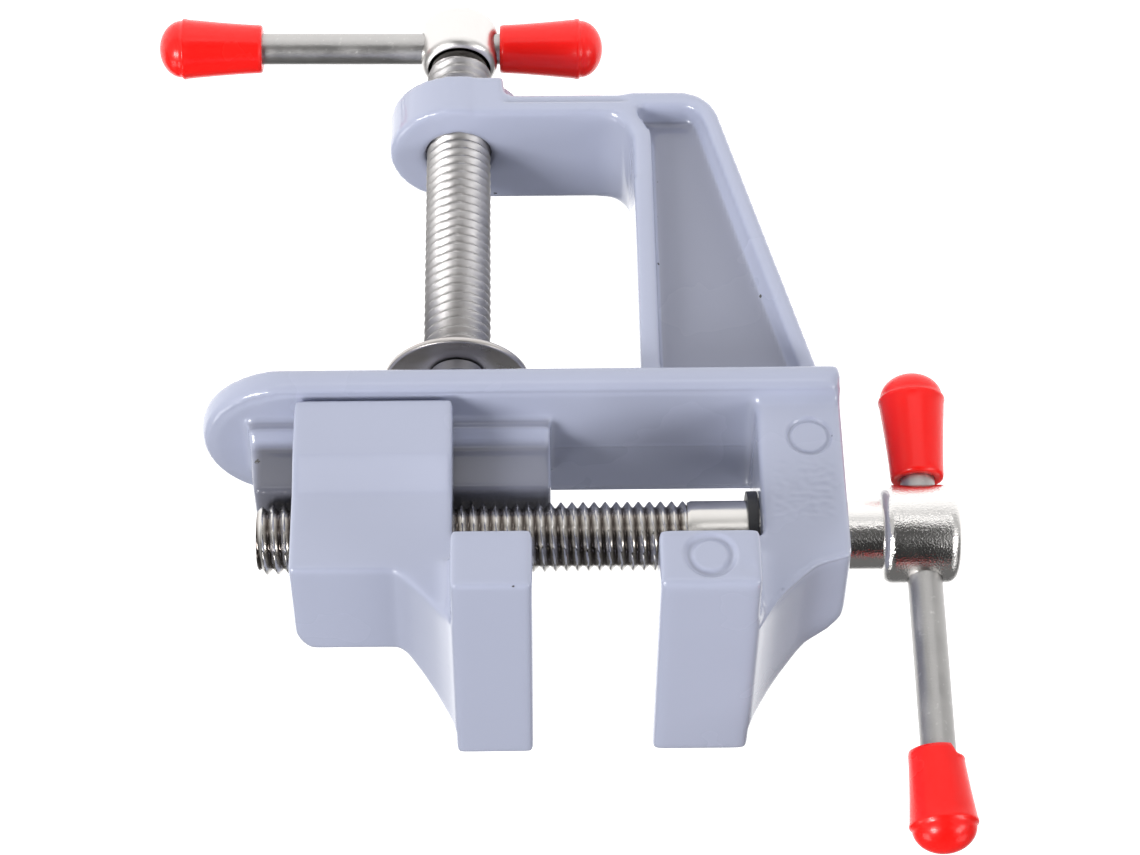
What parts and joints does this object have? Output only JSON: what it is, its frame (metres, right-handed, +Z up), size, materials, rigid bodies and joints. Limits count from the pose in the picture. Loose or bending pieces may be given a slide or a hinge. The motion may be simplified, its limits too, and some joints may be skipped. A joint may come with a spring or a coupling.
{
  "type": "clamp-on table vise",
  "caption": "Small bench vise with a C-shaped table clamp, a sliding jaw on a rail, and two screws turned by sliding bar handles with red caps.",
  "frame": {"origin": "on the clamp screw's axis, in the underside of the plate that rests on the table", "axes": "+X along the lead screw towards its handle, +Y across the jaws, +Z up from the table to the jaw tips"},
  "size_m": [0.0949, 0.035, 0.1151],
  "materials": {
    "frame_paint": "gloss",
    "jaw_paint": "gloss",
    "screw_steel": "satin",
    "bar_steel": "satin",
    "disc_steel": "satin",
    "ring_black": "satin",
    "cap_red": "gloss"
  },
  "bodies": {
    "frame": {"frame": "frame_paint"},
    "moving_jaw": {"moving_jaw": "jaw_paint"},
    "lead_screw": {"lead_screw": "screw_steel", "retaining_ring": "ring_black"},
    "lead_handle": {"lead_bar": "bar_steel", "lead_cap_lower": "cap_red", "lead_cap_upper": "cap_red"},
    "pressure_disc": {"pressure_disc": "disc_steel"},
    "clamp_screw": {"clamp_screw": "screw_steel"},
    "clamp_handle": {"clamp_bar": "bar_steel", "clamp_cap_left": "cap_red", "clamp_cap_right": "cap_red"}
  },
  "joints": [
    {"name": "lead_spin", "type": "hinge", "parent": "frame", "child": "lead_screw", "pos_m": [0.05265, 0, 0.0164], "axis": [-1, 0, 0], "range_deg": [-4320, 3830.4]},
    {"name": "jaw_slide", "type": "slide", "parent": "frame", "child": "moving_jaw", "axis": [1, 0, 0], "range_m": [-0.015, 0.0133]},
    {"name": "lead_bar_slide", "type": "slide", "parent": "lead_screw", "child": "lead_handle", "axis": [0.014, -0.2079, 0.9781], "range_m": [-0.0199, 0.0009]},
    {"name": "clamp_slide", "type": "slide", "parent": "frame", "child": "pressure_disc", "axis": [0, 0, 1], "range_m": [-0.0324, 0.0048]},
    {"name": "clamp_spin", "type": "hinge", "parent": "pressure_disc", "child": "clamp_screw", "pos_m": [0, 0, -0.0583], "axis": [0, 0, 1], "range_deg": [-9331.2, 1382.4]},
    {"name": "clamp_bar_slide", "type": "slide", "parent": "clamp_screw", "child": "clamp_handle", "axis": [0.9999, -0.0105, 0], "range_m": [-0.00015, 0.01995]}
  ],
  "couplings": [
    {"joint": "lead_spin", "follows": "jaw_slide", "rad_per_m": 5026.5},
    {"joint": "clamp_spin", "follows": "clamp_slide", "rad_per_m": 5026.5}
  ]
}
